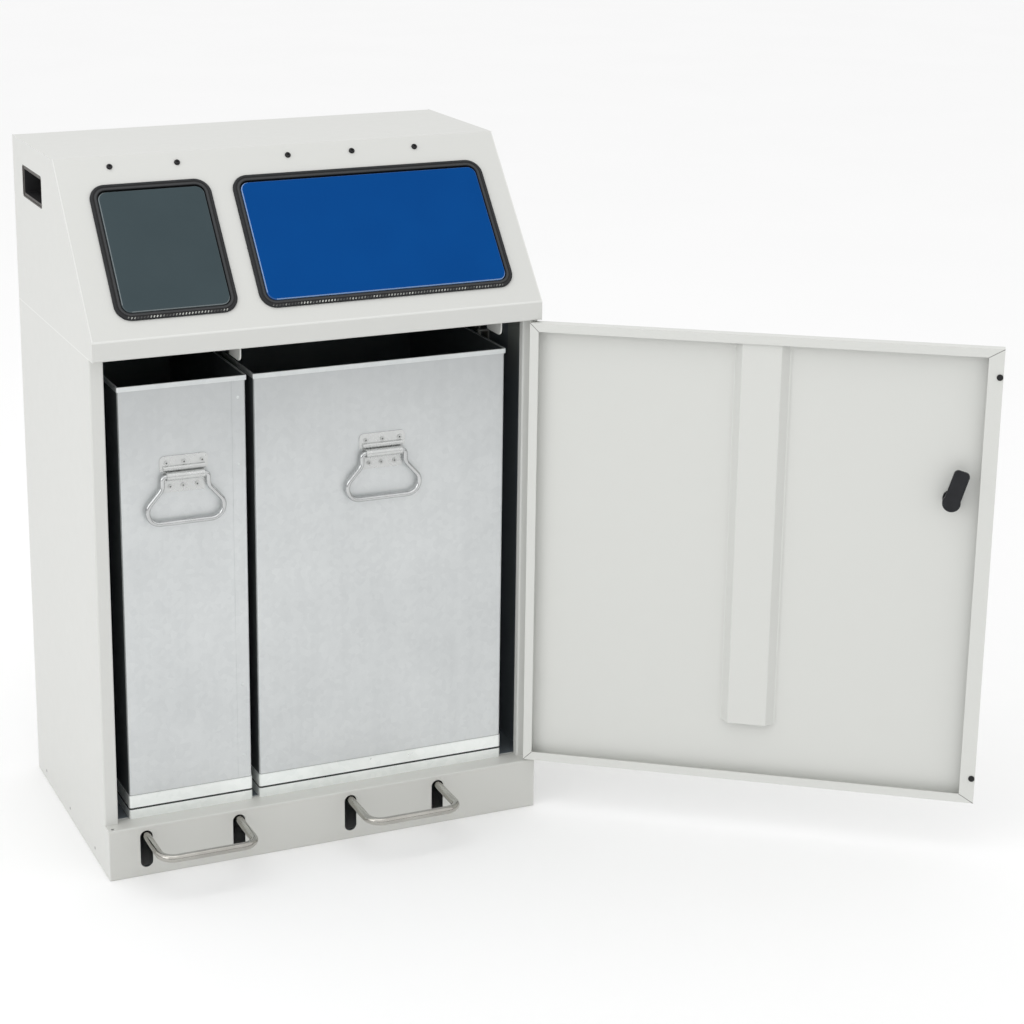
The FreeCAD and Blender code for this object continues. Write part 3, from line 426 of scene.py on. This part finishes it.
# ---------------------------------------------------------------- hinge screws
# Black-oxide button-head screws with a hexagon socket. They go through the slope into the hinge strips behind
# it, two over the grey lid and three over the blue one.
black_oxide, s, feed = finish("black_oxide", Metallic=0.4)
feed("Base Color", s.noise(300.0).mix((0.004, 0.004, 0.005, 1), (0.012, 0.012, 0.013, 1)))
feed("Roughness", s.noise(600.0) * 0.3 + 0.25)
HEAD_R = 0.0044
HEAD_H = 0.0027
SOCKET_DEPTH = 0.0014
HEAD_EDGE = 0.0016
SCREW_S = 0.274
SCREW_X = (0.080, 0.180, 0.3485, 0.4485, 0.5485)
head = bmesh.new()
bmesh.ops.create_cone(head, cap_ends=True, segments=24, radius1=HEAD_R, radius2=HEAD_R, depth=HEAD_H)
upper = [e for e in head.edges if all(v.co.z > 0 for v in e.verts)]
rim = [e for e in upper if len(e.link_faces[0].verts) != len(e.link_faces[1].verts)]
bmesh.ops.bevel(head, geom=rim, offset=HEAD_EDGE, segments=4, profile=0.5, affect="EDGES", material=-1)
crown = max(head.faces, key=lambda f: f.calc_center_median().z + (len(f.verts) > 8))
bmesh.ops.inset_region(head, faces=[crown], thickness=0.0010, depth=0.0)
sunk = bmesh.ops.extrude_face_region(head, geom=[crown])["geom"]
sunk = [v for v in sunk if isinstance(v, bmesh.types.BMVert)]
bmesh.ops.translate(head, vec=(0, 0, -SOCKET_DEPTH), verts=sunk)
bmesh.ops.delete(head, geom=[f for f in head.faces if f is crown], context="FACES_ONLY")
one_head = bpy.data.meshes.new("one_head")
head.to_mesh(one_head)
head.free()
bm = bmesh.new()
for x in SCREW_X:
    before = set(bm.verts)
    bm.from_mesh(one_head)
    place = ON_SLOPE @ Matrix.Translation((x, SCREW_S, HEAD_H / 2 + 0.0001))
    bmesh.ops.transform(bm, matrix=place, verts=[v for v in bm.verts if v not in before])
bpy.data.meshes.remove(one_head)
settle("hinge_screw_heads", bm, black_oxide, "cabinet", replaced=["hinge_screws"])


# ---------------------------------------------------------------- containers
# Two open boxes of hot-dip galvanised sheet, spot-welded, with a folded rim and a bright band round the foot.
# The zinc has soft crystal patches and faint vertical rolling streaks. Inside and between the boxes, and on
# the upper fronts under the hood, it is painted darker as painted shade.
FRONT = -0.185
WALL = 0.0012
WEB = WALL * 0.6
SHADED_TOP = (0.36, 0.375, 0.38, 1)
SHADE_FROM = 0.560
SHADE_RISE = 6.0
SHADED_SIDE = (0.150, 0.165, 0.172, 1)
SHADED_INSIDE = (0.150, 0.168, 0.176, 1)
LAP_SHADOW = (0.20, 0.20, 0.19, 1)
GROOVE_SHADOW = (0.045, 0.050, 0.046, 1)
SKIRT_TOP = 0.114
SKIRT_GROOVE = (0.0925, 0.0950)


def zinc(name, low, high, rough, spangle, hollow=None, grooved=False, metal=0.72):
    """Galvanised sheet; hollow is the box that gets painted shade, grooved paints shadow into the band's
    groove.
    """
    material, s, feed = finish(name, Metallic=metal)
    place = s.node("ShaderNodeTexCoord", output=3)
    cells = s.node("ShaderNodeTexVoronoi", {"feature": "F1"}, {"Vector": place, "Scale": 120.0}, output=1)
    crystal = s.node("ShaderNodeSeparateColor", inputs={0: cells})
    grain = s.noise(1500.0, 2.0)
    streak = s.noise(60.0, 3.0, stretch=(1, 1, 0.05))
    cloud = s.noise(5.0, 4.0, 0.6)
    value = crystal * spangle + grain * 0.30 + streak * 0.25 + cloud * 0.8 - (0.675 + spangle / 2) + 0.5
    colour = value.mix(low, high)
    if hollow:
        x, y, z = s.xyz()
        # painted shade: the front darkens towards the top, under the hood; a painted shadow line just above
        # the skirt
        shade = ((z - SHADE_FROM) * SHADE_RISE).larger(0.0).smaller(1.0) * 0.42
        colour = shade.mix(colour, SHADED_TOP)
        lap_line = (z > SKIRT_TOP) * (z < SKIRT_TOP + 0.0013)
        colour = (lap_line * 0.45).mix(colour, LAP_SHADOW)
        # painted shade on the flanks and the inside of the box
        beside = (x < hollow[0]).larger(x > hollow[1]) * (y > hollow[2] + 0.0035)
        colour = beside.mix(colour, SHADED_SIDE)
        inside = (x > hollow[0]) * (x < hollow[1]) * (y > hollow[2]) * (y < hollow[3])
        colour = inside.mix(colour, SHADED_INSIDE)
    if grooved:
        x, y, z = s.xyz()
        groove = (z > SKIRT_GROOVE[0] - 0.0002) * (z < SKIRT_GROOVE[1] + 0.0002)
        colour = groove.mix(colour, GROOVE_SHADOW)
    feed("Base Color", colour)
    feed("Roughness", crystal * 0.06 + s.noise(25.0, 3.0) * 0.16 + rough)
    feed("Normal", (grain * 0.6 + streak * 0.4).bump(0.12))
    return material


for name in ("small", "large"):
    low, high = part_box("container_body_" + name)
    hollow = (low.x + WEB, high.x - WEB, FRONT + WEB, high.y - WEB)
    sheet = zinc("zinc_sheet_" + name, (0.56, 0.58, 0.585, 1), (0.75, 0.77, 0.77, 1), 0.36, 0.22, hollow)
    paint(sheet, "container_body_" + name)
rim_zinc = zinc("zinc_rim", (0.52, 0.55, 0.55, 1), (0.80, 0.82, 0.82, 1), 0.26, 0.15)
paint(rim_zinc, "container_rim_small", "container_rim_large")
BAND_TONES = ((0.80, 0.84, 0.82, 1), (0.97, 0.99, 0.97, 1))
band_zinc = zinc("zinc_band", *BAND_TONES, 0.22, 0.30, grooved=True, metal=0.5)
paint(band_zinc, "container_skirt_small", "container_skirt_large")
plate_zinc = zinc("zinc_plate", (0.46, 0.47, 0.465, 1), (0.72, 0.73, 0.72, 1), 0.16, 0.10)
paint(plate_zinc, "handle_plate_small", "handle_plate_large")
# The rivet heads are painted darker than the plates as painted shade, the large container's darker still.
rivet_zinc = zinc("rivet_zinc", (0.42, 0.43, 0.42, 1), (0.66, 0.67, 0.66, 1), 0.18, 0.10)
paint(rivet_zinc, "handle_rivets_small")
rivet_zinc_shaded = zinc("rivet_zinc_shaded", (0.34, 0.35, 0.34, 1), (0.62, 0.63, 0.62, 1), 0.18, 0.10)
paint(rivet_zinc_shaded, "handle_rivets_large")

# spot welds down the lap seam of the small container
WELD_Z = (0.150, 0.262, 0.375, 0.487, 0.600, 0.700)
WELD = {"segments": 20, "radius1": 0.0024, "radius2": 0.0016, "depth": 0.0005}
WELD_FROM_RIGHT = 0.0115
FACING = Matrix.Rotation(math.radians(90), 4, "X")
bm = bmesh.new()
low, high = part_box("container_body_small")
for z in WELD_Z:
    weld = bmesh.ops.create_cone(bm, cap_ends=True, **WELD)["verts"]
    spot = Matrix.Translation((high.x - WELD_FROM_RIGHT, FRONT - 0.0002, z))
    bmesh.ops.transform(bm, matrix=spot @ FACING, verts=weld)
settle("seam_spot_welds", bm, rim_zinc, "container_small")

# the dark mandrel ends in the middle of the blind rivets that hold the handle plates
mandrel, s, feed = finish("mandrel_end", Metallic=0.6)
feed("Base Color", s.noise(900.0).mix((0.03, 0.03, 0.03, 1), (0.12, 0.12, 0.115, 1)))
feed("Roughness", s.noise(500.0) * 0.2 + 0.35)
UPPER_RIVETS = [(aside, 0.0185) for aside in (-0.026, 0.0, 0.027)]
LOWER_RIVETS = [(aside, -0.0165) for aside in (-0.021, -0.002, 0.019)]
MANDREL = {"segments": 16, "radius1": 0.0013, "radius2": 0.0010, "depth": 0.0005}
HANDLE_Z = 0.5965
RIVET_FACE = FRONT - 0.0028
for name in ("small", "large"):
    low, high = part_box("container_body_" + name)
    bm = bmesh.new()
    for aside, above in UPPER_RIVETS + LOWER_RIVETS:
        end = bmesh.ops.create_cone(bm, cap_ends=True, **MANDREL)["verts"]
        spot = Matrix.Translation(((low.x + high.x) / 2 + aside, RIVET_FACE, HANDLE_Z + above))
        bmesh.ops.transform(bm, matrix=spot @ FACING, verts=end)
    settle("rivet_mandrels_" + name, bm, mandrel, "container_" + name)


# ---------------------------------------------------------------- bright bars
# Bail handles and pedal bars are bent from round steel bar, barrel-finished and bright zinc plated. The
# pedals are a little darker and warmer than the bails.
for piece, dull, bright, rough in (
    ("bail", (0.34, 0.35, 0.35, 1), (0.72, 0.73, 0.73, 1), 0.10),
    ("pedal_bar", (0.26, 0.25, 0.23, 1), (0.56, 0.55, 0.51, 1), 0.14),
):
    bar, s, feed = finish(piece + "_zinc", Metallic=1.0)
    draw = s.noise(900.0, 2.0)
    feed("Base Color", (s.noise(18.0, 3.0) * 0.7 + draw * 0.3).mix(dull, bright))
    feed("Roughness", draw * 0.12 + rough)
    feed("Normal", draw.bump(0.08))
    paint(bar, piece + "_small", piece + "_large")


# ---------------------------------------------------------------- linkage
# Shafts, levers, lifting rods, goosenecks and hinge strips out of sight: plain zinc-plated steel with a
# slightly yellow, dull finish.
plated = zinc("plated_steel", (0.34, 0.34, 0.32, 1), (0.52, 0.52, 0.49, 1), 0.34, 0.10)
paint(plated, "rod_guides", "pedal_brackets", "hinge_pin_top", "hinge_pin_bottom", "hinge_bushes")
for name in ("small", "large"):
    paint(plated, "lid_arms_" + name, "lid_shaft_" + name, "lid_crank_" + name, "lid_hinge_strip_" + name)
    paint(plated, "lift_rod_" + name, "pedal_shaft_" + name, "pedal_lever_" + name)


# ---------------------------------------------------------------- studio
# Plain pale floor, even white surroundings and one broad light from the front left. Polished metal mirrors a
# dim band low in the room, as it does in a real studio. The camera stands where the photographer stood.
floor_mesh = bpy.data.meshes.new("studio_floor")
bm = bmesh.new()
bmesh.ops.create_grid(bm, x_segments=1, y_segments=1, size=60.0)
bm.to_mesh(floor_mesh)
bm.free()
studio_floor = bpy.data.objects.new("studio_floor", floor_mesh)
bpy.context.scene.collection.objects.link(studio_floor)
paper, s, feed = finish("studio_paper", Roughness=0.9, Specular_IOR_Level=0.1)
feed("Base Color", s.noise(1.5).mix((0.93, 0.93, 0.93, 1), (0.95, 0.95, 0.95, 1)))
floor_mesh.materials.append(paper)
studio_floor.location = (0, 0, -0.0005)

world = bpy.data.worlds.new("studio")
bpy.context.scene.world = world
world.use_nodes = True
sky = Socket(world.node_tree)
height = sky.node("ShaderNodeSeparateXYZ", inputs={0: sky.node("ShaderNodeTexCoord")}, output=2)
dim = (0.16, 0.16, 0.16, 1)
bright = (1.1, 1.1, 1.1, 1)
stops = [(0.0, dim), (0.11, dim), (0.20, bright), (1.0, bright)]
room = sky.node("ShaderNodeValToRGB", {"stops": stops}, {"Fac": height})
seen = sky.node("ShaderNodeLightPath", output=3).mix((1, 1, 1, 1), room)
world.node_tree.links.new(seen.socket, world.node_tree.nodes["Background"].inputs[0])
world.node_tree.nodes["Background"].inputs[1].default_value = 1.0
bpy.context.scene.view_settings.view_transform = "Standard"


def softbox(name, place, target, size, power):
    """Broad square light that faces a point."""
    light = bpy.data.lights.new(name, "AREA")
    light.shape = "SQUARE"
    light.size = size
    light.energy = power
    made = bpy.data.objects.new(name, light)
    made.location = place
    made.rotation_euler = (Vector(target) - Vector(place)).to_track_quat("-Z", "Y").to_euler()
    bpy.context.scene.collection.objects.link(made)


softbox("light_left", (-3.4, -1.3, 1.9), (0, 0, 0.5), 2.4, 22)
softbox("light_top", (-0.6, -0.6, 3.6), (0, 0, 0.5), 2.6, 14)

LENS_PIXELS = 2331.0
FRAME_PIXELS = 1024
SENSOR = 36.0
LOOK_DOWN = math.radians(15.27)
LOOK_RIGHT = math.radians(22.03)
camera = bpy.data.cameras.new("studio_camera")
camera.sensor_width = SENSOR
camera.lens = LENS_PIXELS / FRAME_PIXELS * SENSOR
camera.shift_x = 0.12
camera.shift_y = -0.12
camera.clip_end = 200
stand = bpy.data.objects.new("studio_camera", camera)
stand.location = (-1.120, -3.223, 1.583)
stand.rotation_euler = (math.radians(90) - LOOK_DOWN, 0, -LOOK_RIGHT)
bpy.context.scene.collection.objects.link(stand)
bpy.context.scene.camera = stand
